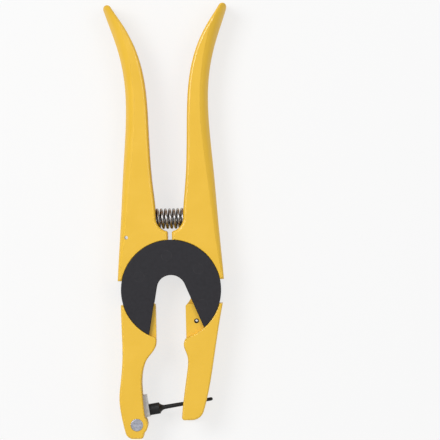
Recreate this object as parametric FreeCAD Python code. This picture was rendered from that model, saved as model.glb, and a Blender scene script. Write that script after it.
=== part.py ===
import FreeCAD, Part
import math
import os

# Ear tag applicator, a pair of cast pliers that lies flat on its back. Millimetres.
# The origin is the centre that the two levers turn about, on the back face. +Y runs up to the
# handle tips, +X to the right handle and +Z out of the front face.

V = FreeCAD.Vector

# ---- Castings -------------------------------------------------------------------------------
CAST_T = 22.0               # thickness of both castings, back face at Z = 0
CHEEK_T = 4.3               # wall left in front of and behind each channel
OUTER_WALL = 3.8            # wall along the outer edge of each channel
HANDLE_EDGE_R = 1.6         # rounding of the handles' front and back edges
JAW_EDGE_R = 1.0            # rounding of the jaws' front and back edges

# ---- Hub ------------------------------------------------------------------------------------
PLATE_R = 28.7              # outer radius of the two cover plates
PLATE_T = 3.0               # thickness of a cover plate
PLATE_SINK = 0.2            # the plates lie this far below the castings' faces
PLATE_TILT = 6.4            # degrees, from the levers' centre line to the plates' centre line
PLATE_EDGE_R = 0.35         # rounding of a plate's outer edges
THROAT_R = 8.5              # radius of the open throat in the plates
THROAT_FLARE = 16.4         # degrees, each side of the throat below its round end
JOURNAL_GAP = 0.1           # radial clearance between the plates' rims and the castings
RIM_R = 0.5                 # rounding of the castings' rims round the plates
WEB_R_IN = 12.3             # inner radius of the lapped webs
WEB_GAP = 0.3               # clearance round the outside of a web, where the other lever is
LAP_GAP = 0.2               # clearance between the two lapped webs
SLIDE_GAP = 0.15            # axial clearance between the moving lever and each plate
HANDLE_END_Y = 5.6          # height of the handles' lower ends
TONGUE_TOP_Y = -8.2         # height of the jaws' upper ends
OPEN_DEG = 24.0             # travel of the moving lever from rest, opening
CLOSE_DEG = 4.0             # travel of the moving lever from rest, closing

# ---- Hub rivets -----------------------------------------------------------------------------
RIVET_CIRCLE_R = 19.8       # radius of the circle that the rivets stand on
RIVET_PITCH_DEG = 60.0      # spacing of the three rivets that cross the lap
RIVET_LEG_DEG = -26.0       # angle of the rivet in the right leg of the plates
RIVET_R = 1.8               # shank radius
RIVET_HEAD_R = 3.0          # radius of the countersunk head
RIVET_HEAD_T = 1.4          # depth of the countersunk head
SPACER_R = 2.6              # outer radius of the spacer sleeves
SPACER_GAP = 0.12           # clearance of a sleeve in its curved slot

# ---- Handles --------------------------------------------------------------------------------
LIP_GAP = 2.4               # gap between the handles where they stop each other
LIP_R = 1.2                 # rounding of the stop lips
SPRING_Y = 41.4             # height of the grip spring's axis
POCKET_R = 7.9              # radius of the scoop under the grip spring
TIP_AT = (33.0, 161.6)      # centre of a handle tip
TIP_R = 2.3                 # radius of a handle tip
OUTER_EDGE = [(30.5, HANDLE_END_Y), (27.9, 39.5), (26.0, 67.5), (23.8, 97.0), (24.3, 121.0),
              (28.0, 139.5)]
INNER_EDGE = [(9.5, 61.0), (11.2, 97.0), (12.7, 119.0), (17.6, 139.0), (24.5, 152.8)]
CREASE = [(30.2, 4.0), (26.8, 23.5), (23.4, 53.0), (20.3, 80.0), (18.7, 108.0), (21.0, 132.0),
          (25.0, 148.5), (35.0, 167.0)]
CREASE_DROP = 1.25          # depth of the sloped outer edge, as a share of its width
CHANNEL_TOP_Y = 141.0       # upper end of the channel inside a handle
CHANNEL_LOW_Y = 34.6        # lower end of the channel inside a handle
LANYARD_AT = (-25.0, 30.5)  # small hole through the left handle
LANYARD_R = 1.0

# ---- Grip spring ----------------------------------------------------------------------------
GRIP_R = 6.0                # outer radius of the coil
GRIP_WIRE = 1.6             # wire diameter
SEAT_T = 1.6                # thickness of a seat's flange
SEAT_SPIGOT = 8.0           # length of a seat's spigot, inside the coil
SEAT_GAP = 0.35             # radial clearance of the spigot in the coil
SEAT_ROOT = 1.2             # depth of a seat's root in the handle

# ---- Right jaw: fork ------------------------------------------------------------------------
FORK_TOP_Y = -45.0          # upper end of the channel in the right jaw
SLOT_TOP_Y = -58.5          # upper end of the slot through the outer wall
SLOT_W = 5.2                # width of that slot
RIGHT_FOOT_Y = -74.8        # foot of the right jaw
TOE_R = 7.0                 # rounding of the right jaw's outer corner
HEEL_R = 1.6                # rounding of its inner corner
STOP_PIN_INSET = 5.7        # from the plates' rim to the spring pin in the right tongue
STOP_PIN_DEG = -51.9        # direction from the hub to that pin
STOP_PIN_R = 1.4
STOP_PIN_BORE = 0.8
CLIP_X = 11.6               # middle of the tag clip
CLIP_T = 0.8                # thickness of the tag clip's strip
CLIP_W = 5.4                # width of the strip
CLIP_LEG = 23.0             # length of a leg
CLIP_PINCH = 0.9            # inward step of the legs' free ends
CLIP_SCREW_R = 1.5
CLIP_HEAD_R = 2.6
CLIP_HEAD_T = 1.6
CLIP_SCREW_L = 7.0

# ---- Left jaw: flip block -------------------------------------------------------------------
LEFT_TOE = (-26.9, -84.9)   # lower outer corner of the left jaw
LEFT_HEEL = (-17.4, -84.9)  # lower inner corner of the left jaw
NECK = (-17.1, -68.0)       # where the inner edge leaves the ears
AXLE_AT = (-21.27, -76.92)  # axis of the flip block
AXLE_R = 2.0
AXLE_HEAD_R = 3.6
AXLE_HEAD_T = 1.2
AXLE_GAP = 0.05             # radial running clearance of the block on its axle
EAR_R = 6.3                 # radius of the ears round the axle
PIN_DEG = 8.6               # slope of the applicator pin
BLOCK_GAP = 0.3             # clearance of the block beside each cheek
BLOCK_FACE = 8.33           # from the axle to the block's face, along the pin
BLOCK_LOW = 3.3             # foot of that face, across the pin
BLOCK_TOP = 15.9            # top of that face, across the pin
BLOCK_BACK = -3.3           # back of the block, along the pin
BLOCK_BOSS_R = 4.3
PIN_OFFSET = 7.0            # from the axle to the pin's axis, across the pin
PIN_STUD_R = 2.5
PIN_STUD_L = 5.2
COLLAR_R = 4.1
COLLAR_FLATS = 6.3          # across the collar's two flats
COLLAR_L = 6.1
FLARE_R = 2.9
FLARE_L = 3.4
ROD_R = 1.25                # rod radius where it leaves the flare
ROD_TIP_R = 0.98
ROD_REACH = 45.3            # from the axle to the pin's tip, along the pin

# ---- Rebound spring of the flip block -------------------------------------------------------
JAW_CHANNEL_R = 33.0        # the left jaw's channel ends on this radius about the hub
ANCHOR_Y = -34.6            # height of the anchor screw
ANCHOR_R = 1.1
ANCHOR_HEAD_R = 1.9
ANCHOR_HEAD_T = 1.2
ANCHOR_REACH = 3.6          # from the channel floor to the anchor's free end
HOOK_AT = (3.0, 14.0)       # hook pin in the block, along and across the pin
HOOK_R = 0.9
HOOK_SLOT_W = 5.2
HOOK_SLOT_D = 4.6
REBOUND_R = 2.3             # outer radius of the coil
REBOUND_WIRE = 0.7
LOOP_GAP = 0.15             # play of the spring's end loops on what they hook over
LOOP_NECK = 1.6             # straight wire between the coil and each loop


CURVE_LEAD = 2.5            # length over which a curve holds its direction at an end


# ---- Small helpers --------------------------------------------------------------------------
def line(a, b):
    return Part.makeLine(V(a[0], a[1], 0), V(b[0], b[1], 0))


def arc(a, b, c):
    """Arc from a to c through b, in the plane Z = 0."""
    return Part.Arc(V(a[0], a[1], 0), V(b[0], b[1], 0), V(c[0], c[1], 0)).toShape()


def polar(radius, degrees, centre=(0.0, 0.0)):
    a = math.radians(degrees)
    return (centre[0] + radius * math.cos(a), centre[1] + radius * math.sin(a))


def arc_about(centre, radius, deg_0, deg_1):
    points = [polar(radius, d, centre) for d in (deg_0, (deg_0 + deg_1) / 2, deg_1)]
    return arc(*points)


def curve(points, first=None, last=None):
    """Smooth curve through points; first and last are its unit directions at the ends."""
    through = [V(p[0], p[1], 0) for p in points]
    if first:
        through.insert(1, through[0] + V(first[0], first[1], 0) * CURVE_LEAD)
    if last:
        through.insert(-1, through[-1] - V(last[0], last[1], 0) * CURVE_LEAD)
    spline = Part.BSplineCurve()
    spline.interpolate(through)
    return spline


def prism(edges, z0, z1):
    wire = Part.Wire(Part.__sortEdges__(edges))
    face = Part.Face(wire)
    face.translate(V(0, 0, z0))
    return face.extrude(V(0, 0, z1 - z0))


def polygon(points, z0, z1):
    wire = Part.makePolygon([V(p[0], p[1], z0) for p in list(points) + [points[0]]])
    return Part.Face(wire).extrude(V(0, 0, z1 - z0))


def cylinder(radius, z0, z1, centre=(0.0, 0.0)):
    return Part.makeCylinder(radius, z1 - z0, V(centre[0], centre[1], z0), V(0, 0, 1))


def tube(r_out, r_in, z0, z1, centre=(0.0, 0.0)):
    return cylinder(r_out, z0, z1, centre).cut(cylinder(r_in, z0, z1, centre))


def box(x0, x1, y0, y1, z0, z1):
    return Part.makeBox(x1 - x0, y1 - y0, z1 - z0, V(x0, y0, z0))


def flipped(shape):
    """The shape turned over, front to back, about the castings' middle plane."""
    return shape.mirror(V(0, 0, CAST_T / 2), V(0, 0, 1))


def round_faces(shape, radius, z_values, clear_r=0.0):
    """Round the edges that lie in the planes Z = z, apart from those within clear_r of the hub."""
    picked = []
    for edge in shape.Edges:
        bounds = edge.BoundBox
        middle = edge.valueAt((edge.FirstParameter + edge.LastParameter) / 2)
        flat = any(abs(bounds.ZMin - z) < 1e-6 and abs(bounds.ZMax - z) < 1e-6 for z in z_values)
        if flat and math.hypot(middle.x, middle.y) > clear_r:
            picked.append(edge)
    return shape.makeFillet(radius, picked)


def round_corners(shape, corners):
    """Round the upright edges that stand at the corners, each given as x, y and radius."""
    for x, y, radius in corners:
        picked = [e for e in shape.Edges if all(math.hypot(v.X - x, v.Y - y) < 1e-4 for v in e.Vertexes)]
        shape = shape.makeFillet(radius, picked)
    return shape


def x_at(spline, y):
    """X of a curve that climbs steadily in Y."""
    low, high = spline.FirstParameter, spline.LastParameter
    for _ in range(40):
        middle = (low + high) / 2
        if spline.value(middle).y < y:
            low = middle
        else:
            high = middle
    return spline.value(low).x


def revolve(edges, centre=(0.0, 0.0)):
    """Turn a closed outline, drawn as radius and height, about a Z axis."""
    face = Part.Face(Part.Wire(Part.__sortEdges__(edges)))
    face.rotate(V(0, 0, 0), V(1, 0, 0), 90)
    solid = face.revolve(V(0, 0, 0), V(0, 0, 1), 360)
    solid.translate(V(centre[0], centre[1], 0))
    return solid


# ---- Derived places -------------------------------------------------------------------------
MID_Z = CAST_T / 2
PLATE_BACK = PLATE_SINK                     # outer face of the rear plate
PLATE_SEAT = PLATE_SINK + PLATE_T           # inner face of the rear plate
RECESS_R = PLATE_R + JOURNAL_GAP
WEB_R_OUT = RECESS_R - WEB_GAP
HALF_LIP = LIP_GAP / 2
CHANNEL_Z = (CHEEK_T, CAST_T - CHEEK_T)
PAST = 30.0                                 # how far a cutter runs past what it cuts
TOP_RIVET_DEG = 90.0 + PLATE_TILT
RIVET_DEGS = [TOP_RIVET_DEG + k * RIVET_PITCH_DEG for k in (-1, 0, 1)]
STOP_PIN_AT = polar(PLATE_R - STOP_PIN_INSET, STOP_PIN_DEG)


# ---- Hub cutters ----------------------------------------------------------------------------
def recess(z_floor):
    """Round recess in the front face, with a rounded rim; its floor is at z_floor."""
    rim = CAST_T - RIM_R
    outline = [
        line((0, z_floor), (RECESS_R, z_floor)),
        line((RECESS_R, z_floor), (RECESS_R, rim)),
        arc((RECESS_R, rim), polar(RIM_R, 135, (RECESS_R + RIM_R, rim)), (RECESS_R + RIM_R, CAST_T)),
        line((RECESS_R + RIM_R, CAST_T), (RECESS_R + RIM_R, CAST_T + 1)),
        line((RECESS_R + RIM_R, CAST_T + 1), (0, CAST_T + 1)),
        line((0, CAST_T + 1), (0, z_floor)),
    ]
    return revolve(outline)


def web(side, z0, z1):
    """Annular web of the lever whose handle is on this side, down to its jaw's tongue."""
    ring = tube(WEB_R_OUT, WEB_R_IN, z0, z1)
    below_handle = box(min(0, side * PAST), max(0, side * PAST), -PAST, HANDLE_END_Y, z0, z1)
    above_tongue = box(min(0, -side * PAST), max(0, -side * PAST), -PAST, TONGUE_TOP_Y, z0, z1)
    return ring.cut(below_handle).cut(above_tongue)


# ---- Handles --------------------------------------------------------------------------------
def handle_edges():
    """Outer edge, tip and inner edge of the right handle."""
    out_dir = (0.31, 0.95)
    in_dir = (0.53, 0.85)
    tip_out = (TIP_AT[0] + TIP_R * out_dir[1], TIP_AT[1] - TIP_R * out_dir[0])
    tip_in = (TIP_AT[0] - TIP_R * in_dir[1], TIP_AT[1] + TIP_R * in_dir[0])
    tip_top = polar(TIP_R, 65, TIP_AT)
    outer = curve(OUTER_EDGE + [tip_out], (-0.07, 1.0), out_dir)
    inner = curve([(POCKET_R, SPRING_Y)] + INNER_EDGE + [tip_in], (0.02, 1.0), in_dir)
    return outer, arc(tip_out, tip_top, tip_in), inner


def handle_blank():
    """Right handle as a solid block, with its share of the hub still at full thickness."""
    outer, tip, inner = handle_edges()
    hub_x = math.sqrt(WEB_R_IN ** 2 - HANDLE_END_Y ** 2)
    hub_y = math.sqrt(WEB_R_IN ** 2 - HALF_LIP ** 2)
    hub_mid = polar(WEB_R_IN, 60)
    lip_arc_y = SPRING_Y - math.sqrt((POCKET_R + LIP_R) ** 2 - (HALF_LIP + LIP_R) ** 2)
    lip_centre = (HALF_LIP + LIP_R, lip_arc_y)
    to_axis = math.degrees(math.atan2(SPRING_Y - lip_arc_y, -lip_centre[0]))
    pocket_deg = to_axis - 180
    pocket_start = polar(POCKET_R, pocket_deg, (0, SPRING_Y))
    lip_end = (HALF_LIP, lip_arc_y)
    edges = [
        line((hub_x, HANDLE_END_Y), OUTER_EDGE[0]),
        outer.toShape(),
        tip,
        inner.toShape(),
        arc((POCKET_R, SPRING_Y), polar(POCKET_R, pocket_deg / 2, (0, SPRING_Y)), pocket_start),
        arc(pocket_start, polar(LIP_R, (to_axis + 180) / 2, lip_centre), lip_end),
        line(lip_end, (HALF_LIP, hub_y)),
        arc((HALF_LIP, hub_y), hub_mid, (hub_x, HANDLE_END_Y)),
    ]
    return round_faces(prism(edges, 0, CAST_T), HANDLE_EDGE_R, (0, CAST_T))


def outer_slope():
    """Cutter that slopes the front of the right handle down to its outer edge."""
    outer = handle_edges()[0]
    crease = curve(CREASE)
    beyond = curve(OUTER_EDGE + [(TIP_AT[0] + 3.2, TIP_AT[1] + 2.9), (TIP_AT[0] + 5.0, TIP_AT[1] + 8.4)])
    sections = []
    stations = [4.0, 14.0, 26.0, 40.0, 56.0, 74.0, 92.0, 110.0, 126.0, 140.0, 152.0, 166.0]
    for y in stations:
        edge_x = x_at(beyond, max(y, HANDLE_END_Y))
        crease_x = x_at(crease, y)
        width = edge_x - crease_x
        drop = CREASE_DROP * width
        a = V(crease_x, y, CAST_T)
        b = V(crease_x + 0.66 * width, y, CAST_T - 0.36 * drop)
        c = V(edge_x + 0.12 * width, y, CAST_T - 1.1 * drop)
        d = V(edge_x + 3, y, c.z)
        e = V(edge_x + 3, y, CAST_T + 2)
        f = V(crease_x, y, CAST_T + 2)
        bend = Part.Arc(a, b, c).toShape()
        rest = [Part.makeLine(p, q) for p, q in ((c, d), (d, e), (e, f), (f, a))]
        sections.append(Part.Wire([bend] + rest))
    return Part.makeLoft(sections, True, False)


def handle_channel():
    """Channel that opens the right handle towards its inner side."""
    outer = handle_edges()[0]
    wall = [(x_at(outer, y) - OUTER_WALL, y) for y in (CHANNEL_LOW_Y, 67.5, 97.0, 121.0, CHANNEL_TOP_Y)]
    edges = [
        line((0, CHANNEL_LOW_Y), wall[0]),
        curve(wall).toShape(),
        line(wall[-1], (0, CHANNEL_TOP_Y)),
        line((0, CHANNEL_TOP_Y), (0, CHANNEL_LOW_Y)),
    ]
    return prism(edges, *CHANNEL_Z)


def seat_x():
    """Distance from the centre line to the channel floor, at the grip spring."""
    return x_at(handle_edges()[0], SPRING_Y) - OUTER_WALL


def right_handle():
    handle = handle_blank()
    slope = outer_slope()
    handle = handle.cut(slope).cut(flipped(slope))
    handle = handle.cut(handle_channel())
    root = Part.makeCylinder(GRIP_R, 1 + SEAT_ROOT, V(seat_x() - 1, SPRING_Y, MID_Z), V(1, 0, 0))
    return handle.cut(root)


# ---- Jaws -----------------------------------------------------------------------------------
def right_jaw():
    """Fork that backs the tag: a channel towards the pin, slotted through and open below."""
    tongue_x = 8.1
    corner_x = math.sqrt(WEB_R_IN ** 2 - TONGUE_TOP_Y ** 2)
    corner_y = -math.sqrt(WEB_R_IN ** 2 - tongue_x ** 2)
    corner_mid = polar(WEB_R_IN, math.degrees(math.atan2(TONGUE_TOP_Y + corner_y, corner_x + tongue_x)))
    toe, heel = (15.5, RIGHT_FOOT_Y), (4.5, RIGHT_FOOT_Y)
    outer = curve([(29.5, TONGUE_TOP_Y), (26.2, -25.2), (23.4, -41.8), (20.8, -56.0), toe])
    inner = curve([(tongue_x, -27.8), (6.6, -32.0), (8.4, -37.6), (8.4, -46.0), (7.0, -55.0),
                   (5.6, -64.5), heel])
    edges = [
        line((corner_x, TONGUE_TOP_Y), (29.5, TONGUE_TOP_Y)),
        outer.toShape(),
        line(toe, heel),
        inner.toShape(),
        line((tongue_x, -27.8), (tongue_x, corner_y)),
        arc((tongue_x, corner_y), corner_mid, (corner_x, TONGUE_TOP_Y)),
    ]
    jaw = round_corners(prism(edges, 0, CAST_T), [toe + (TOE_R,), heel + (HEEL_R,)])
    jaw = round_faces(jaw, JAW_EDGE_R, (0, CAST_T), RECESS_R)
    floor = [(x_at_down(outer, y) - OUTER_WALL, y) for y in (FORK_TOP_Y, -60.0)]
    floor.append((floor[-1][0] - 4.6, -PAST * 3))
    channel = polygon([(-PAST, FORK_TOP_Y)] + floor + [(-PAST, -PAST * 3)], *CHANNEL_Z)
    slot = box(0, PAST, -PAST * 3, SLOT_TOP_Y, MID_Z - SLOT_W / 2, MID_Z + SLOT_W / 2)
    screw = Part.makeCylinder(CLIP_SCREW_R, CLIP_SCREW_L, V(CLIP_X, FORK_TOP_Y - 1, MID_Z), V(0, 1, 0))
    stop = cylinder(STOP_PIN_R, 0, CAST_T, STOP_PIN_AT)
    return jaw.cut(channel).cut(slot).cut(screw).cut(stop)


def x_at_down(spline, y):
    """X of a curve that falls steadily in Y."""
    low, high = spline.FirstParameter, spline.LastParameter
    for _ in range(40):
        middle = (low + high) / 2
        if spline.value(middle).y > y:
            low = middle
        else:
            high = middle
    return spline.value(low).x


def left_jaw_edges():
    """Outline of the left jaw; the first edge is its outer curve."""
    tongue_x = -9.0
    corner_x = -math.sqrt(WEB_R_IN ** 2 - TONGUE_TOP_Y ** 2)
    corner_y = -math.sqrt(WEB_R_IN ** 2 - tongue_x ** 2)
    corner_mid = polar(WEB_R_IN, math.degrees(math.atan2(TONGUE_TOP_Y + corner_y, corner_x + tongue_x)))
    outer = curve([(-28.95, TONGUE_TOP_Y), (-28.75, -24.0), (-28.8, -40.0), (-30.0, -52.0),
                   (-30.95, -61.0), (-30.0, -71.5), LEFT_TOE])
    ear_x = LEFT_HEEL[0] - AXLE_AT[0]
    ear_low = (LEFT_HEEL[0], AXLE_AT[1] - math.sqrt(EAR_R ** 2 - ear_x ** 2))
    ear_high = polar(EAR_R, 42, AXLE_AT)
    inner = curve([NECK, (-17.9, -57.0), (-17.7, -49.0), (-14.2, -38.8), (-10.4, -34.0), (-9.1, -30.0)])
    edges = [
        outer.toShape(),
        line(LEFT_TOE, LEFT_HEEL),
        line(LEFT_HEEL, ear_low),
        arc(ear_low, polar(EAR_R, -2, AXLE_AT), ear_high),
        line(ear_high, NECK),
        inner.toShape(),
        line((-9.1, -30.0), (tongue_x, corner_y)),
        arc((tongue_x, corner_y), corner_mid, (corner_x, TONGUE_TOP_Y)),
        line((corner_x, TONGUE_TOP_Y), (-28.95, TONGUE_TOP_Y)),
    ]
    return edges, outer


def left_jaw():
    """Clevis that carries the flip block, open towards the pin and below."""
    edges, outer = left_jaw_edges()
    ear_high = polar(EAR_R, 42, AXLE_AT)
    corners = [LEFT_TOE + (4.6,), LEFT_HEEL + (1.8,), ear_high + (3.0,)]
    jaw = round_corners(prism(edges, 0, CAST_T), corners)
    jaw = round_faces(jaw, JAW_EDGE_R, (0, CAST_T), RECESS_R)
    ys = (-25.0, -40.0, -50.0, -60.0, -70.0)
    floor = [(x_at_down(outer, y) + OUTER_WALL, y) for y in ys]
    floor.append((floor[-1][0] + 1.2, -PAST * 3))
    channel = polygon(floor + [(0, -PAST * 3), (0, -25.0)], *CHANNEL_Z)
    channel = channel.cut(cylinder(JAW_CHANNEL_R, 0, CAST_T))
    axle = axle_pin(0.0)
    anchor = anchor_screw()
    return jaw.cut(channel).cut(axle).cut(anchor)


# ---- Castings -------------------------------------------------------------------------------
def fixed_lever_casting():
    """Left handle, rear lap web and right jaw, in one casting."""
    handle = right_handle().mirror(V(0, 0, 0), V(1, 0, 0))
    lap_top = MID_Z - LAP_GAP / 2
    handle = handle.cut(recess(lap_top))
    jaw = right_jaw().cut(recess(CAST_T - PLATE_SEAT))
    lap = web(-1, PLATE_SEAT, lap_top)
    back = flipped(recess(CAST_T - PLATE_SEAT))
    lever = handle.cut(back).fuse(lap).fuse(jaw.cut(back))
    for degrees in RIVET_DEGS + [RIVET_LEG_DEG]:
        lever = lever.cut(cylinder(RIVET_R, 0, CAST_T, polar(RIVET_CIRCLE_R, degrees)))
    lever = lever.cut(cylinder(LANYARD_R, -1, CAST_T + 1, LANYARD_AT))
    return lever.removeSplitter()


def arc_slot(degrees):
    """Curved slot that lets a spacer sleeve stay put while the moving lever turns."""
    half = SPACER_R + SPACER_GAP
    first = degrees - CLOSE_DEG - 1.0
    last = degrees + OPEN_DEG + 1.0
    outer_r = RIVET_CIRCLE_R + half
    inner_r = RIVET_CIRCLE_R - half
    edges = [
        arc_about((0, 0), outer_r, first, last),
        arc_about((0, 0), inner_r, first, last),
        arc_about(polar(RIVET_CIRCLE_R, first), half, first, first - 180),
        arc_about(polar(RIVET_CIRCLE_R, last), half, last, last + 180),
    ]
    return prism(edges, 0, CAST_T)


def moving_lever_casting():
    """Right handle, front lap web and left jaw, in one casting."""
    lap_low = MID_Z + LAP_GAP / 2
    floor = CAST_T - PLATE_SEAT - SLIDE_GAP
    handle = right_handle().cut(recess(floor)).cut(flipped(recess(CAST_T - lap_low)))
    jaw = left_jaw().cut(recess(floor)).cut(flipped(recess(floor)))
    lever = handle.fuse(web(1, lap_low, floor)).fuse(jaw)
    for degrees in RIVET_DEGS:
        lever = lever.cut(arc_slot(degrees))
    return lever.removeSplitter()


# ---- Hub plates and rivets ------------------------------------------------------------------
def front_cover_plate():
    """Horseshoe plate whose rim the castings turn on."""
    reach = math.sqrt(PLATE_R ** 2 - THROAT_R ** 2)
    a = math.radians(THROAT_FLARE)
    start = (THROAT_R * math.cos(a), THROAT_R * math.sin(a))
    foot = (start[0] + reach * math.sin(a), start[1] - reach * math.cos(a))
    edges = [
        line(start, foot),
        arc(foot, (0, PLATE_R), (-foot[0], foot[1])),
        line((-foot[0], foot[1]), (-start[0], start[1])),
        arc((-start[0], start[1]), (0, THROAT_R), start),
    ]
    outer_z = CAST_T - PLATE_BACK
    plate = round_faces(prism(edges, outer_z - PLATE_T, outer_z), PLATE_EDGE_R, (outer_z,))
    plate.rotate(V(0, 0, 0), V(0, 0, 1), PLATE_TILT)
    return plate.cut(hub_rivets())


def rear_cover_plate():
    return flipped(front_cover_plate())


def hub_rivet(centre):
    """Rivet with a countersunk head at each end, flush with the plates."""
    low, high = PLATE_BACK, CAST_T - PLATE_BACK
    outline = [
        line((0, low), (RIVET_HEAD_R, low)),
        line((RIVET_HEAD_R, low), (RIVET_R, low + RIVET_HEAD_T)),
        line((RIVET_R, low + RIVET_HEAD_T), (RIVET_R, high - RIVET_HEAD_T)),
        line((RIVET_R, high - RIVET_HEAD_T), (RIVET_HEAD_R, high)),
        line((RIVET_HEAD_R, high), (0, high)),
        line((0, high), (0, low)),
    ]
    return revolve(outline, centre)


def hub_rivets():
    places = [polar(RIVET_CIRCLE_R, d) for d in RIVET_DEGS + [RIVET_LEG_DEG]]
    return Part.makeCompound([hub_rivet(p) for p in places])


def rivet_spacers():
    """Sleeves that hold the front plate off the rear web and guide the curved slots."""
    low, high = MID_Z - LAP_GAP / 2, CAST_T - PLATE_SEAT
    sleeves = [tube(SPACER_R, RIVET_R, low, high, polar(RIVET_CIRCLE_R, d)) for d in RIVET_DEGS]
    return Part.makeCompound(sleeves)


def stop_pin():
    """Slotted spring pin pressed through the right tongue."""
    low, high = PLATE_SEAT, CAST_T - PLATE_SEAT
    pin = tube(STOP_PIN_R, STOP_PIN_BORE, low, high, STOP_PIN_AT)
    slit = box(0, STOP_PIN_R * 2, -0.2, 0.2, low, high)
    slit.translate(V(STOP_PIN_AT[0], STOP_PIN_AT[1], 0))
    return pin.cut(slit)


# ---- Grip spring ----------------------------------------------------------------------------
def spring_seat(side):
    """Flanged seat in a handle, with a spigot inside the end of the coil."""
    floor = seat_x()
    spigot_r = GRIP_R - GRIP_WIRE - SEAT_GAP
    root = Part.makeCylinder(GRIP_R, SEAT_ROOT, V(side * floor, SPRING_Y, MID_Z), V(side, 0, 0))
    flange = Part.makeCylinder(GRIP_R, SEAT_T, V(side * (floor - SEAT_T), SPRING_Y, MID_Z), V(side, 0, 0))
    start = V(side * (floor - SEAT_T - SEAT_SPIGOT), SPRING_Y, MID_Z)
    spigot = Part.makeCylinder(spigot_r, SEAT_SPIGOT, start, V(side, 0, 0))
    spigot = spigot.makeChamfer(0.8, [e for e in spigot.Edges if abs(e.BoundBox.XMax - start.x) < 1e-6
                                      and abs(e.BoundBox.XMin - start.x) < 1e-6])
    seat = flange.fuse(spigot)
    return seat.fuse(root).removeSplitter()


def grip_spring():
    """Envelope of the compression spring between the two seats."""
    half = seat_x() - SEAT_T
    outer = Part.makeCylinder(GRIP_R, 2 * half, V(-half, SPRING_Y, MID_Z), V(1, 0, 0))
    inner = Part.makeCylinder(GRIP_R - GRIP_WIRE, 2 * half, V(-half, SPRING_Y, MID_Z), V(1, 0, 0))
    return outer.cut(inner)


# ---- Tag clip -------------------------------------------------------------------------------
def tag_clip():
    """Hairpin strip in the right jaw's channel that pinches the tag's boss between its legs."""
    half = MID_Z - CHEEK_T - 0.15
    top = FORK_TOP_Y
    foot = top - CLIP_LEG
    bend = CLIP_LEG * 0.72
    outer = [(-half, top), (half, top), (half, top - bend), (half - CLIP_PINCH, foot)]
    inner = [(half - CLIP_PINCH - CLIP_T, foot), (half - CLIP_T, top - bend), (half - CLIP_T, top - CLIP_T)]
    profile = outer + inner + [(-p[0], p[1]) for p in reversed(inner)] + [(-p[0], p[1]) for p in reversed(outer[2:])]
    points = [V(0, y, MID_Z + z) for z, y in profile]
    face = Part.Face(Part.makePolygon(points + [points[0]]))
    clip = face.extrude(V(CLIP_W, 0, 0))
    clip.translate(V(CLIP_X - CLIP_W / 2, 0, 0))
    hole = Part.makeCylinder(CLIP_SCREW_R, 4, V(CLIP_X, top - 2, MID_Z), V(0, 1, 0))
    return clip.cut(hole)


def clip_screw():
    """Screw that holds the clip against the end of the channel."""
    under = FORK_TOP_Y - CLIP_T
    head = Part.makeCylinder(CLIP_HEAD_R, CLIP_HEAD_T, V(CLIP_X, under - CLIP_HEAD_T, MID_Z), V(0, 1, 0))
    shank = Part.makeCylinder(CLIP_SCREW_R, CLIP_SCREW_L - 1 + CLIP_T, V(CLIP_X, under, MID_Z), V(0, 1, 0))
    return head.fuse(shank).removeSplitter()


# ---- Flip block -----------------------------------------------------------------------------
def to_jaw(shape):
    """Move a shape from the block's own axes, along and across the pin, to the left jaw."""
    placed = shape.copy()
    placed.rotate(V(0, 0, 0), V(0, 0, 1), PIN_DEG)
    placed.translate(V(AXLE_AT[0], AXLE_AT[1], 0))
    return placed


def axle_pin(gap):
    """Axle with a flat head let into each cheek; gap widens its shank."""
    shank = cylinder(AXLE_R + gap, 0, CAST_T, AXLE_AT)
    front = cylinder(AXLE_HEAD_R, CAST_T - AXLE_HEAD_T, CAST_T, AXLE_AT)
    back = cylinder(AXLE_HEAD_R, 0, AXLE_HEAD_T, AXLE_AT)
    return shank.fuse([front, back]).removeSplitter()


def flip_axle():
    return round_faces(axle_pin(0.0), 0.3, (0, CAST_T))


def flip_block():
    """Steel block that the applicator pin screws into; it swings on the axle."""
    low, high = CHANNEL_Z[0] + BLOCK_GAP, CHANNEL_Z[1] - BLOCK_GAP
    outline = [
        (BLOCK_FACE, BLOCK_LOW), (BLOCK_FACE, BLOCK_TOP), (BLOCK_BACK, BLOCK_TOP),
        (0.3 - BLOCK_BOSS_R, BLOCK_LOW), (-BLOCK_BOSS_R, 0), (BLOCK_BOSS_R, 0), (BLOCK_BOSS_R + 0.9, BLOCK_LOW),
    ]
    body = polygon(outline, low, high).fuse(cylinder(BLOCK_BOSS_R, low, high)).removeSplitter()
    body = body.cut(cylinder(AXLE_R + AXLE_GAP, low, high))
    stud = Part.makeCylinder(PIN_STUD_R, PIN_STUD_L, V(BLOCK_FACE - PIN_STUD_L, PIN_OFFSET, MID_Z), V(1, 0, 0))
    hook_slot = box(BLOCK_BACK - 1, BLOCK_FACE - 1.8, BLOCK_TOP - HOOK_SLOT_D, BLOCK_TOP + 1,
                    MID_Z - HOOK_SLOT_W / 2, MID_Z + HOOK_SLOT_W / 2)
    hook = cylinder(HOOK_R, low, high, HOOK_AT)
    return to_jaw(body.cut(stud).cut(hook_slot).cut(hook))


def hook_pin():
    low, high = CHANNEL_Z[0] + BLOCK_GAP, CHANNEL_Z[1] - BLOCK_GAP
    return to_jaw(cylinder(HOOK_R, low, high, HOOK_AT))


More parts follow.
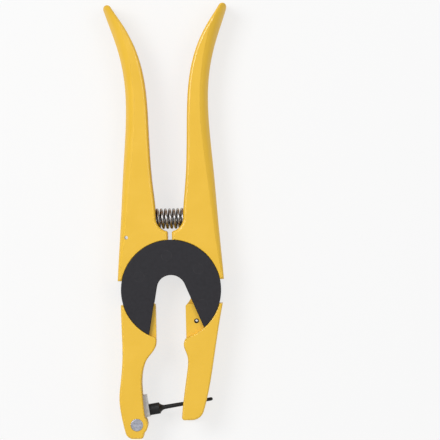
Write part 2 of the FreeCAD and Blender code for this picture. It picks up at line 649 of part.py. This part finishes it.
def applicator_pin():
    """Hardened pin: stud, collar with two flats, hollow flare and a tapered rod."""
    face = BLOCK_FACE
    collar_end = face + COLLAR_L
    flare_end = collar_end + FLARE_L
    tip = ROD_REACH
    outline = [
        line((0, face - PIN_STUD_L), (PIN_STUD_R - 0.5, face - PIN_STUD_L)),
        line((PIN_STUD_R - 0.5, face - PIN_STUD_L), (PIN_STUD_R, face - PIN_STUD_L + 0.5)),
        line((PIN_STUD_R, face - PIN_STUD_L + 0.5), (PIN_STUD_R, face)),
        line((PIN_STUD_R, face), (COLLAR_R - 0.3, face)),
        line((COLLAR_R - 0.3, face), (COLLAR_R, face + 0.3)),
        line((COLLAR_R, face + 0.3), (COLLAR_R, collar_end - 0.4)),
        line((COLLAR_R, collar_end - 0.4), (COLLAR_R - 0.4, collar_end)),
        line((COLLAR_R - 0.4, collar_end), (FLARE_R, collar_end)),
        arc((FLARE_R, collar_end), (ROD_R + 0.42, collar_end + 0.42 * FLARE_L), (ROD_R, flare_end)),
        line((ROD_R, flare_end), (ROD_TIP_R, tip - ROD_TIP_R)),
        arc((ROD_TIP_R, tip - ROD_TIP_R), polar(ROD_TIP_R, 45, (0, tip - ROD_TIP_R)), (0, tip)),
        line((0, tip), (0, face - PIN_STUD_L)),
    ]
    pin = revolve(outline)
    pin.rotate(V(0, 0, 0), V(0, 1, 0), 90)
    half = COLLAR_FLATS / 2
    for y0, y1 in ((half, half + 3), (-half - 3, -half)):
        pin = pin.cut(box(face, collar_end, y0, y1, -COLLAR_R - 1, COLLAR_R + 1))
    pin.translate(V(0, PIN_OFFSET, MID_Z))
    return to_jaw(pin)


# ---- Rebound spring -------------------------------------------------------------------------
def anchor_floor():
    return x_at_down(left_jaw_edges()[1], ANCHOR_Y) + OUTER_WALL


def anchor_screw():
    """Screw through the jaw's outer wall; the rebound spring hooks behind its end collar."""
    floor = anchor_floor()
    outside = floor - OUTER_WALL
    shank = Part.makeCylinder(ANCHOR_R, OUTER_WALL + ANCHOR_REACH, V(outside, ANCHOR_Y, MID_Z), V(1, 0, 0))
    head = Part.makeCylinder(ANCHOR_HEAD_R, ANCHOR_HEAD_T, V(outside + 0.3, ANCHOR_Y, MID_Z), V(1, 0, 0))
    end = Part.makeCylinder(ANCHOR_HEAD_R, 0.8, V(floor + ANCHOR_REACH, ANCHOR_Y, MID_Z), V(1, 0, 0))
    return shank.fuse([head, end]).removeSplitter()


def rebound_spring():
    """Envelope of the extension spring from the anchor to the block, with its end loops."""
    wire = REBOUND_WIRE / 2
    anchor = V(anchor_floor() + ANCHOR_REACH - wire - LOOP_GAP, ANCHOR_Y, MID_Z)
    hook_2d = to_jaw(Part.Vertex(HOOK_AT[0], HOOK_AT[1], MID_Z))
    hook = hook_2d.Vertexes[0].Point
    along = (hook - anchor).normalize()
    anchor_loop_r = ANCHOR_R + LOOP_GAP + wire
    hook_loop_r = HOOK_R + LOOP_GAP + wire
    start = anchor + along * (anchor_loop_r + LOOP_NECK)
    end = hook - along * (hook_loop_r + LOOP_NECK)
    length = end.distanceToPoint(start)
    coil = Part.makeCylinder(REBOUND_R, length, start, along)
    coil = coil.cut(Part.makeCylinder(REBOUND_R - REBOUND_WIRE, length - 2 * REBOUND_WIRE,
                                      start + along * REBOUND_WIRE, along))
    loops = [
        Part.makeTorus(anchor_loop_r, wire, anchor, V(1, 0, 0)),
        Part.makeTorus(hook_loop_r, wire, hook, V(0, 0, 1)),
        Part.makeCylinder(wire, LOOP_NECK + wire, anchor + along * anchor_loop_r, along),
        Part.makeCylinder(wire, LOOP_NECK + wire, end - along * wire, along),
    ]
    return coil.fuse(loops).removeSplitter()


# ---- Export ---------------------------------------------------------------------------------
NODES = {
    "fixed_lever_casting": fixed_lever_casting,
    "moving_lever_casting": moving_lever_casting,
    "front_cover_plate": front_cover_plate,
    "rear_cover_plate": rear_cover_plate,
    "hub_rivets": hub_rivets,
    "rivet_spacers": rivet_spacers,
    "stop_pin": stop_pin,
    "left_spring_seat": lambda: spring_seat(-1),
    "right_spring_seat": lambda: spring_seat(1),
    "grip_spring": grip_spring,
    "tag_clip": tag_clip,
    "clip_screw": clip_screw,
    "flip_axle": flip_axle,
    "flip_block": flip_block,
    "hook_pin": hook_pin,
    "applicator_pin": applicator_pin,
    "anchor_screw": anchor_screw,
    "rebound_spring": rebound_spring,
}

os.makedirs("parts", exist_ok=True)
for node, make in NODES.items():
    shape = make()
    bounds = shape.BoundBox
    print(node, shape.isValid(), len(shape.Solids), round(shape.Volume, 1),
          [round(v, 2) for v in (bounds.XMin, bounds.XMax, bounds.YMin, bounds.YMax, bounds.ZMin, bounds.ZMax)])
    shape.exportStep("parts/" + node + ".step")
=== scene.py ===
import bmesh
import bpy
import math
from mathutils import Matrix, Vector


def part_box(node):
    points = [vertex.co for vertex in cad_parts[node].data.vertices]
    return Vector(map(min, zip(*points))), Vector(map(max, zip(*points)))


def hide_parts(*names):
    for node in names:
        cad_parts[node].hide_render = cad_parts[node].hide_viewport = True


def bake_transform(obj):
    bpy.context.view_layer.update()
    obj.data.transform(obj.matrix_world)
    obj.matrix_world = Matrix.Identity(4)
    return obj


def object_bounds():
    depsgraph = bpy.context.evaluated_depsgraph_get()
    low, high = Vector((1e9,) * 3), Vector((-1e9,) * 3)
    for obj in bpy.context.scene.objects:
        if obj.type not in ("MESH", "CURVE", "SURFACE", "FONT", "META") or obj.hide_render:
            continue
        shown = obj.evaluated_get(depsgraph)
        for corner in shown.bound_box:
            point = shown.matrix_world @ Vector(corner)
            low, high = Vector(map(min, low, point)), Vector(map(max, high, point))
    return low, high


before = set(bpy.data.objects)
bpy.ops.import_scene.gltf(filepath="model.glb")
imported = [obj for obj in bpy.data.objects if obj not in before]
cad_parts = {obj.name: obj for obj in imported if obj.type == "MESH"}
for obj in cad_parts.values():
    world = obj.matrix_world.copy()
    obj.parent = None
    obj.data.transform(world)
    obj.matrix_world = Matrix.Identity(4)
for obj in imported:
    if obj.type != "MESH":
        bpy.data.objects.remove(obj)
cad_low, cad_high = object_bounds()


# ---- Camera ---------------------------------------------------------------------------------
# The tool lies on its back and is seen from straight above, through a long lens, with the
# handles at the left of the view and turned a little anticlockwise.
camera_aim = (0.02895, 0.03941)
camera_height = 2.0
camera_turn = math.radians(-1.3)
view_width = 0.25183

camera_data = bpy.data.cameras.new("studio_camera")
camera_data.sensor_width = 36.0
camera_data.lens = camera_data.sensor_width * camera_height / view_width
camera_data.clip_start = 0.05
camera_data.clip_end = 20.0
camera = bpy.data.objects.new("studio_camera", camera_data)
camera.location = (*camera_aim, cad_high.z + camera_height)
camera.rotation_euler = (0.0, 0.0, camera_turn)
bpy.context.scene.collection.objects.link(camera)
bpy.context.scene.camera = camera
bpy.context.scene.view_settings.view_transform = "Standard"


# ---- Studio ---------------------------------------------------------------------------------
# A white sheet on a bench under a light tent: the floor is matt white and keeps a soft shadow,
# a large lamp stands at the upper left, and a smaller and weaker one at the upper right.
floor_half = 3.0
floor_drop = 0.0001
floor_white = (0.86, 0.86, 0.86, 1.0)
floor_glow_share = 0.7
pure_white = (1.0, 1.0, 1.0, 1.0)
tent_low = (0.42, 0.42, 0.43, 1.0)
tent_high = (0.72, 0.72, 0.72, 1.0)
tent_strength = 0.78

floor_mesh = bpy.data.meshes.new("studio_floor")
bm = bmesh.new()
bmesh.ops.create_grid(bm, x_segments=1, y_segments=1, size=floor_half)
bmesh.ops.translate(bm, verts=bm.verts, vec=(0.0, 0.0, cad_low.z - floor_drop))
bm.to_mesh(floor_mesh)
bm.free()
floor = bpy.data.objects.new("studio_floor", floor_mesh)
bpy.context.scene.collection.objects.link(floor)

floor_finish = bpy.data.materials.new("white_sheet")
floor_finish.use_nodes = True
nodes, links = floor_finish.node_tree.nodes, floor_finish.node_tree.links
nodes.clear()
sheet = nodes.new("ShaderNodeBsdfDiffuse")
sheet.inputs["Color"].default_value = floor_white
glow = nodes.new("ShaderNodeEmission")
glow.inputs["Color"].default_value = pure_white
glow.inputs["Strength"].default_value = 1.0
shown = nodes.new("ShaderNodeMixShader")
path = nodes.new("ShaderNodeLightPath")
seen = nodes.new("ShaderNodeMath")
seen.operation = "MAXIMUM"
share = nodes.new("ShaderNodeMath")
share.operation = "MULTIPLY"
share.inputs[1].default_value = floor_glow_share
links.new(path.outputs["Is Camera Ray"], seen.inputs[0])
links.new(path.outputs["Is Glossy Ray"], seen.inputs[1])
links.new(seen.outputs[0], share.inputs[0])
links.new(share.outputs[0], shown.inputs["Fac"])
links.new(sheet.outputs[0], shown.inputs[1])
links.new(glow.outputs[0], shown.inputs[2])
output = nodes.new("ShaderNodeOutputMaterial")
links.new(shown.outputs[0], output.inputs["Surface"])
floor_mesh.materials.append(floor_finish)

tent = bpy.data.worlds.new("light_tent")
tent.use_nodes = True
bpy.context.scene.world = tent
nodes, links = tent.node_tree.nodes, tent.node_tree.links
nodes.clear()
direction = nodes.new("ShaderNodeTexCoord")
split = nodes.new("ShaderNodeSeparateXYZ")
links.new(direction.outputs["Generated"], split.inputs[0])
height_ramp = nodes.new("ShaderNodeValToRGB")
height_ramp.color_ramp.elements[0].position = 0.05
height_ramp.color_ramp.elements[0].color = tent_low
height_ramp.color_ramp.elements[1].position = 0.8
height_ramp.color_ramp.elements[1].color = tent_high
links.new(split.outputs["Z"], height_ramp.inputs["Fac"])
tent_light = nodes.new("ShaderNodeBackground")
tent_light.inputs["Strength"].default_value = tent_strength
links.new(height_ramp.outputs["Color"], tent_light.inputs["Color"])
backdrop = nodes.new("ShaderNodeBackground")
backdrop.inputs["Color"].default_value = pure_white
path = nodes.new("ShaderNodeLightPath")
shown = nodes.new("ShaderNodeMixShader")
links.new(path.outputs["Is Camera Ray"], shown.inputs["Fac"])
links.new(tent_light.outputs[0], shown.inputs[1])
links.new(backdrop.outputs[0], shown.inputs[2])
output = nodes.new("ShaderNodeOutputWorld")
links.new(shown.outputs[0], output.inputs["Surface"])


def softbox(name, place, size, energy):
    """A square area lamp that points at the middle of the tool."""
    lamp_data = bpy.data.lights.new(name, "AREA")
    lamp_data.size = size
    lamp_data.energy = energy
    lamp = bpy.data.objects.new(name, lamp_data)
    lamp.location = place
    aim = (cad_low + cad_high) / 2 - Vector(place)
    lamp.rotation_euler = aim.to_track_quat("-Z", "Y").to_euler()
    bpy.context.scene.collection.objects.link(lamp)


softbox("key_lamp", place=(-0.9, 0.6, 1.5), size=0.8, energy=16.0)
softbox("fill_lamp", place=(0.8, 0.4, 1.6), size=0.6, energy=4.0)


# ---- Two lever castings -----------------------------------------------------------------------
# Each lever is one aluminium casting, handle, hub web and jaw together, fettled and sprayed
# with thick yellow enamel with a faint orange peel, darker ochre along the sharp edges as thin enamel and
# painted shade.
def new_finish(name, roughness, metallic=0.0):
    """A material with its shader, its Object coordinates and its node lists."""
    material = bpy.data.materials.new(name)
    material.use_nodes = True
    nodes, links = material.node_tree.nodes, material.node_tree.links
    shader = nodes["Principled BSDF"]
    shader.inputs["Roughness"].default_value = roughness
    shader.inputs["Metallic"].default_value = metallic
    place = nodes.new("ShaderNodeTexCoord").outputs["Object"]
    return material, nodes, links, shader, place


def group_sockets(group, inputs, outputs):
    """Give a node group its named sockets, each a name and a kind."""
    for name, kind, value in inputs:
        socket = group.interface.new_socket(name, in_out="INPUT", socket_type=kind)
        if value is not None:
            socket.default_value = value
    for name, kind in outputs:
        group.interface.new_socket(name, in_out="OUTPUT", socket_type=kind)


def build_mottle():
    """Group: a colour that drifts between two, and a roughness that drifts with it."""
    group = bpy.data.node_groups.new("mottle", "ShaderNodeTree")
    group_sockets(
        group,
        [("Position", "NodeSocketVector", None), ("Scale", "NodeSocketFloat", 60.0),
         ("Colour A", "NodeSocketColor", None), ("Colour B", "NodeSocketColor", None),
         ("Roughness A", "NodeSocketFloat", 0.4), ("Roughness B", "NodeSocketFloat", 0.5)],
        [("Colour", "NodeSocketColor"), ("Roughness", "NodeSocketFloat")],
    )
    nodes, links = group.nodes, group.links
    given = nodes.new("NodeGroupInput")
    result = nodes.new("NodeGroupOutput")
    noise = nodes.new("ShaderNodeTexNoise")
    noise.inputs["Detail"].default_value = 4.0
    noise.inputs["Roughness"].default_value = 0.55
    links.new(given.outputs["Position"], noise.inputs["Vector"])
    links.new(given.outputs["Scale"], noise.inputs["Scale"])
    spread = nodes.new("ShaderNodeMapRange")
    spread.inputs["From Min"].default_value = 0.3
    spread.inputs["From Max"].default_value = 0.7
    links.new(noise.outputs["Fac"], spread.inputs["Value"])
    mix = nodes.new("ShaderNodeMix")
    mix.data_type = "RGBA"
    links.new(spread.outputs["Result"], mix.inputs["Factor"])
    links.new(given.outputs["Colour A"], mix.inputs["A"])
    links.new(given.outputs["Colour B"], mix.inputs["B"])
    links.new(mix.outputs["Result"], result.inputs["Colour"])
    gloss = nodes.new("ShaderNodeMix")
    links.new(spread.outputs["Result"], gloss.inputs["Factor"])
    links.new(given.outputs["Roughness A"], gloss.inputs["A"])
    links.new(given.outputs["Roughness B"], gloss.inputs["B"])
    links.new(gloss.outputs["Result"], result.inputs["Roughness"])
    return group


def build_edge_wear_and_painted_light():
    """Group: a mask that is 1 along sharp edges and breaks up with noise; it carries edge wear with painted
    shade on the enamel and with a painted highlight on the black coats.
    """
    group = bpy.data.node_groups.new("edge_wear_and_painted_light", "ShaderNodeTree")
    group_sockets(
        group,
        [("Position", "NodeSocketVector", None), ("Width", "NodeSocketFloat", 0.0006),
         ("Amount", "NodeSocketFloat", 0.5), ("Scale", "NodeSocketFloat", 250.0)],
        [("Mask", "NodeSocketFloat")],
    )
    nodes, links = group.nodes, group.links
    given = nodes.new("NodeGroupInput")
    result = nodes.new("NodeGroupOutput")
    bevel = nodes.new("ShaderNodeBevel")
    bevel.samples = 6
    links.new(given.outputs["Width"], bevel.inputs["Radius"])
    geometry = nodes.new("ShaderNodeNewGeometry")
    dot = nodes.new("ShaderNodeVectorMath")
    dot.operation = "DOT_PRODUCT"
    links.new(bevel.outputs["Normal"], dot.inputs[0])
    links.new(geometry.outputs["True Normal"], dot.inputs[1])
    bend = nodes.new("ShaderNodeMapRange")
    bend.inputs["From Min"].default_value = 0.995
    bend.inputs["From Max"].default_value = 0.9
    links.new(dot.outputs["Value"], bend.inputs["Value"])
    noise = nodes.new("ShaderNodeTexNoise")
    noise.inputs["Detail"].default_value = 5.0
    links.new(given.outputs["Position"], noise.inputs["Vector"])
    links.new(given.outputs["Scale"], noise.inputs["Scale"])
    broken = nodes.new("ShaderNodeMapRange")
    broken.inputs["From Min"].default_value = 0.42
    broken.inputs["From Max"].default_value = 0.6
    links.new(noise.outputs["Fac"], broken.inputs["Value"])
    both = nodes.new("ShaderNodeMath")
    both.operation = "MULTIPLY"
    links.new(bend.outputs["Result"], both.inputs[0])
    links.new(broken.outputs["Result"], both.inputs[1])
    scaled = nodes.new("ShaderNodeMath")
    scaled.operation = "MULTIPLY"
    links.new(both.outputs[0], scaled.inputs[0])
    links.new(given.outputs["Amount"], scaled.inputs[1])
    links.new(scaled.outputs[0], result.inputs["Mask"])
    return group


mottle = build_mottle()
edge_wear_and_painted_light = build_edge_wear_and_painted_light()


def use_group(nodes, links, group, place, **values):
    """Place a shared group in a material, feed it the place and set its own values."""
    node = nodes.new("ShaderNodeGroup")
    node.node_tree = group
    links.new(place, node.inputs["Position"])
    for name, value in values.items():
        node.inputs[name.replace("_", " ")].default_value = value
    return node


def add_bump(nodes, links, shader, place, layers, distance):
    """Add noise layers, each a scale and a weight, as one bump."""
    total = None
    for scale, weight in layers:
        noise = nodes.new("ShaderNodeTexNoise")
        noise.inputs["Scale"].default_value = scale
        noise.inputs["Detail"].default_value = 3.0
        links.new(place, noise.inputs["Vector"])
        part = nodes.new("ShaderNodeMath")
        part.operation = "MULTIPLY"
        part.inputs[1].default_value = weight
        links.new(noise.outputs["Fac"], part.inputs[0])
        if total is None:
            total = part
        else:
            both = nodes.new("ShaderNodeMath")
            both.operation = "ADD"
            links.new(total.outputs[0], both.inputs[0])
            links.new(part.outputs[0], both.inputs[1])
            total = both
    bump = nodes.new("ShaderNodeBump")
    bump.inputs["Distance"].default_value = distance
    links.new(total.outputs[0], bump.inputs["Height"])
    links.new(bump.outputs["Normal"], shader.inputs["Normal"])
    return bump


yellow_enamel, nodes, links, shader, place = new_finish("yellow_enamel", 0.34)
tone = use_group(nodes, links, mottle, place, Scale=45.0,
                 Colour_A=(0.86, 0.515, 0.030, 1.0), Colour_B=(0.90, 0.545, 0.036, 1.0),
                 Roughness_A=0.30, Roughness_B=0.40)
# Darker ochre along sharp edges: thin enamel over the metal, and painted shade standing in for the dark
# lines of the shaded side walls.
wear_and_painted_light_mask = use_group(nodes, links, edge_wear_and_painted_light, place, Width=0.0007, Amount=0.35, Scale=260.0)
wear_and_painted_light_mix = nodes.new("ShaderNodeMix")
wear_and_painted_light_mix.data_type = "RGBA"
wear_and_painted_light_mix.inputs["B"].default_value = (0.42, 0.27, 0.07, 1.0)
links.new(wear_and_painted_light_mask.outputs["Mask"], wear_and_painted_light_mix.inputs["Factor"])
links.new(tone.outputs["Colour"], wear_and_painted_light_mix.inputs["A"])
links.new(wear_and_painted_light_mix.outputs["Result"], shader.inputs["Base Color"])
links.new(tone.outputs["Roughness"], shader.inputs["Roughness"])
shader.inputs["Coat Weight"].default_value = 0.25
shader.inputs["Coat Roughness"].default_value = 0.12
add_bump(nodes, links, shader, place, [(900.0, 1.0), (160.0, 2.5)], 0.00006)


def finish_node(node, material):
    """Put a finish on a CAD node."""
    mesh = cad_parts[node].data
    mesh.materials.clear()
    mesh.materials.append(material)


finish_node("fixed_lever_casting", yellow_enamel)
finish_node("moving_lever_casting", yellow_enamel)


# ---- Hub: cover plates and rivets --------------------------------------------------------------
# Two horseshoe plates, stamped from 3 mm steel, deburred and coated satin black, held by
# countersunk rivets that are ground flush and coated with them.
def satin_black(name, colour_a, colour_b, wear_and_highlight_amount):
    """A mottled satin coat whose sharp edges turn lighter grey by the given amount: rubbed coat with a
    painted highlight.
    """
    material, nodes, links, shader, place = new_finish(name, 0.5)
    tone = use_group(nodes, links, mottle, place, Scale=500.0, Colour_A=colour_a,
                     Colour_B=colour_b, Roughness_A=0.42, Roughness_B=0.56)
    wear_and_painted_light_mask = use_group(nodes, links, edge_wear_and_painted_light, place, Width=0.0004, Amount=wear_and_highlight_amount, Scale=400.0)
    # Lighter grey along sharp edges: a rubbed coat, and a painted highlight on the rims.
    wear_and_painted_light_mix = nodes.new("ShaderNodeMix")
    wear_and_painted_light_mix.data_type = "RGBA"
    wear_and_painted_light_mix.inputs["B"].default_value = (0.16, 0.15, 0.15, 1.0)
    links.new(wear_and_painted_light_mask.outputs["Mask"], wear_and_painted_light_mix.inputs["Factor"])
    links.new(tone.outputs["Colour"], wear_and_painted_light_mix.inputs["A"])
    links.new(wear_and_painted_light_mix.outputs["Result"], shader.inputs["Base Color"])
    links.new(tone.outputs["Roughness"], shader.inputs["Roughness"])
    shader.inputs["Specular IOR Level"].default_value = 0.35
    add_bump(nodes, links, shader, place, [(2600.0, 1.0), (700.0, 0.8)], 0.00003)
    return material


plate_black = satin_black("plate_black", (0.011, 0.010, 0.014, 1.0), (0.016, 0.015, 0.020, 1.0),
                          wear_and_highlight_amount=0.15)
rivet_black = satin_black("rivet_black", (0.012, 0.011, 0.015, 1.0), (0.017, 0.016, 0.021, 1.0),
                          wear_and_highlight_amount=0.10)
finish_node("front_cover_plate", plate_black)
finish_node("rear_cover_plate", plate_black)
finish_node("hub_rivets", rivet_black)


# ---- Small turned steel parts ------------------------------------------------------------------
# Spacer sleeves, the slotted spring pin, seats, screws and the hook pin are turned or rolled
# from bar, some left bright and some oiled, blackened or plated, with a fine uneven grain.
def bare_steel(name, colour_a, colour_b, rough_a, rough_b, scale=900.0):
    """Bare or plated metal that drifts between two colours and two roughnesses."""
    material, nodes, links, shader, place = new_finish(name, rough_a, metallic=1.0)
    tone = use_group(nodes, links, mottle, place, Scale=scale, Colour_A=colour_a,
                     Colour_B=colour_b, Roughness_A=rough_a, Roughness_B=rough_b)
    links.new(tone.outputs["Colour"], shader.inputs["Base Color"])
    links.new(tone.outputs["Roughness"], shader.inputs["Roughness"])
    add_bump(nodes, links, shader, place, [(3000.0, 1.0)], 0.00001)
    return material


turned_steel = bare_steel("turned_steel", (0.48, 0.48, 0.49, 1.0), (0.60, 0.60, 0.61, 1.0), 0.26, 0.38)
oiled_steel = bare_steel("oiled_steel", (0.10, 0.09, 0.085, 1.0), (0.17, 0.16, 0.15, 1.0), 0.35, 0.5)
black_oxide = bare_steel("black_oxide", (0.020, 0.016, 0.014, 1.0), (0.045, 0.038, 0.032, 1.0), 0.40, 0.55)
zinc_plate = bare_steel("zinc_plate", (0.55, 0.56, 0.58, 1.0), (0.68, 0.69, 0.72, 1.0), 0.28, 0.42)
finish_node("rivet_spacers", turned_steel)
finish_node("hook_pin", turned_steel)
finish_node("stop_pin", black_oxide)
finish_node("left_spring_seat", oiled_steel)
finish_node("right_spring_seat", oiled_steel)
finish_node("clip_screw", zinc_plate)
finish_node("anchor_screw", zinc_plate)


# ---- Grip spring -------------------------------------------------------------------------------
# A compression spring of 1.6 mm wire, cold wound with closed ends that are ground flat, pushed
# over the two seats, and it bows a little towards the hub between them.
spring_wire = bare_steel("spring_wire", (0.34, 0.34, 0.35, 1.0), (0.50, 0.50, 0.51, 1.0), 0.22, 0.36, 700.0)
finish_node("tag_clip", spring_wire)

wire_d = 0.0016
wire_sides = 20
steps_per_turn = 32
closed_turns = 1.5
active_turns = 17.0
bow_to_hub = 0.0005
coil_low, coil_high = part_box("grip_spring")
coil_mid = (coil_low + coil_high) / 2
coil_r = (coil_high.y - coil_low.y) / 2 - wire_d / 2
coil_length = coil_high.x - coil_low.x


def wind(bm, section, axis, middle, turns, pitch):
    """Sweep a wire section round an axis, one pitch along it for each turn; gives the last section."""
    steps = round(turns * steps_per_turn)
    swept = bmesh.ops.spin(
        bm, geom=section, cent=middle, axis=axis, dvec=Vector(axis) * pitch / steps_per_turn,
        angle=turns * 2 * math.pi, steps=steps, use_merge=False, use_duplicate=False)
    return swept["geom_last"]


def grind_flat(bm, place, outward):
    """Cut the end of a coil off flat and close the cut."""
    bmesh.ops.bisect_plane(
        bm, geom=list(bm.verts) + list(bm.edges) + list(bm.faces), dist=1e-7,
        plane_co=place, plane_no=outward, clear_outer=True)
    edges = [e for e in bm.edges if e.is_boundary]
    bmesh.ops.holes_fill(bm, edges=edges, sides=0)


def finished_piece(bm, name, material):
    """Turn a finished mesh into a smooth piece with its material."""
    bmesh.ops.recalc_face_normals(bm, faces=bm.faces)
    mesh = bpy.data.meshes.new(name)
    bm.to_mesh(mesh)
    bm.free()
    for polygon in mesh.polygons:
        polygon.use_smooth = True
    mesh.materials.append(material)
    piece = bpy.data.objects.new(name, mesh)
    bpy.context.scene.collection.objects.link(piece)
    return piece


closed_pitch = wire_d * 1.02
active_pitch = (coil_length - 2 * closed_turns * closed_pitch) / active_turns
bm = bmesh.new()
bmesh.ops.create_circle(bm, segments=wire_sides, radius=wire_d / 2)
bmesh.ops.translate(bm, verts=bm.verts, vec=(coil_low.x, coil_mid.y + coil_r, coil_mid.z))
section = list(bm.verts) + list(bm.edges)
stretches = [(closed_turns, closed_pitch), (active_turns, active_pitch), (closed_turns, closed_pitch)]
for turns, pitch in stretches:
    section = wind(bm, section, (1.0, 0.0, 0.0), coil_mid, turns, pitch)
grind_flat(bm, coil_low, (-1.0, 0.0, 0.0))
grind_flat(bm, coil_high, (1.0, 0.0, 0.0))
for vert in bm.verts:
    across = 2 * (vert.co.x - coil_mid.x) / coil_length
    vert.co.y -= bow_to_hub * (1 - across ** 2)
grip_coil = finished_piece(bm, "grip_coil", spring_wire)
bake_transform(grip_coil)
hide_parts("grip_spring")


# ---- Flip block, axle and pin --------------------------------------------------------------------
# A machined block of grey steel turns on a silver axle with flat heads, and the blackened
# applicator pin screws into it.
grey_steel = bare_steel("grey_steel", (0.50, 0.49, 0.48, 1.0), (0.62, 0.61, 0.60, 1.0), 0.34, 0.48)
axle_silver = bare_steel("axle_silver", (0.42, 0.43, 0.49, 1.0), (0.60, 0.61, 0.68, 1.0), 0.26, 0.40)
pin_black = satin_black("pin_black", (0.007, 0.007, 0.008, 1.0), (0.011, 0.011, 0.012, 1.0), 0.12)
finish_node("flip_block", grey_steel)
finish_node("flip_axle", axle_silver)
finish_node("applicator_pin", pin_black)


# ---- Rebound spring --------------------------------------------------------------------------------
# The solid, a plain tube with a ring at each end, stands for a close-wound extension spring,
# one ring behind the anchor screw's head and one round the hook pin, and gets the wire's finish.
finish_node("rebound_spring", spring_wire)
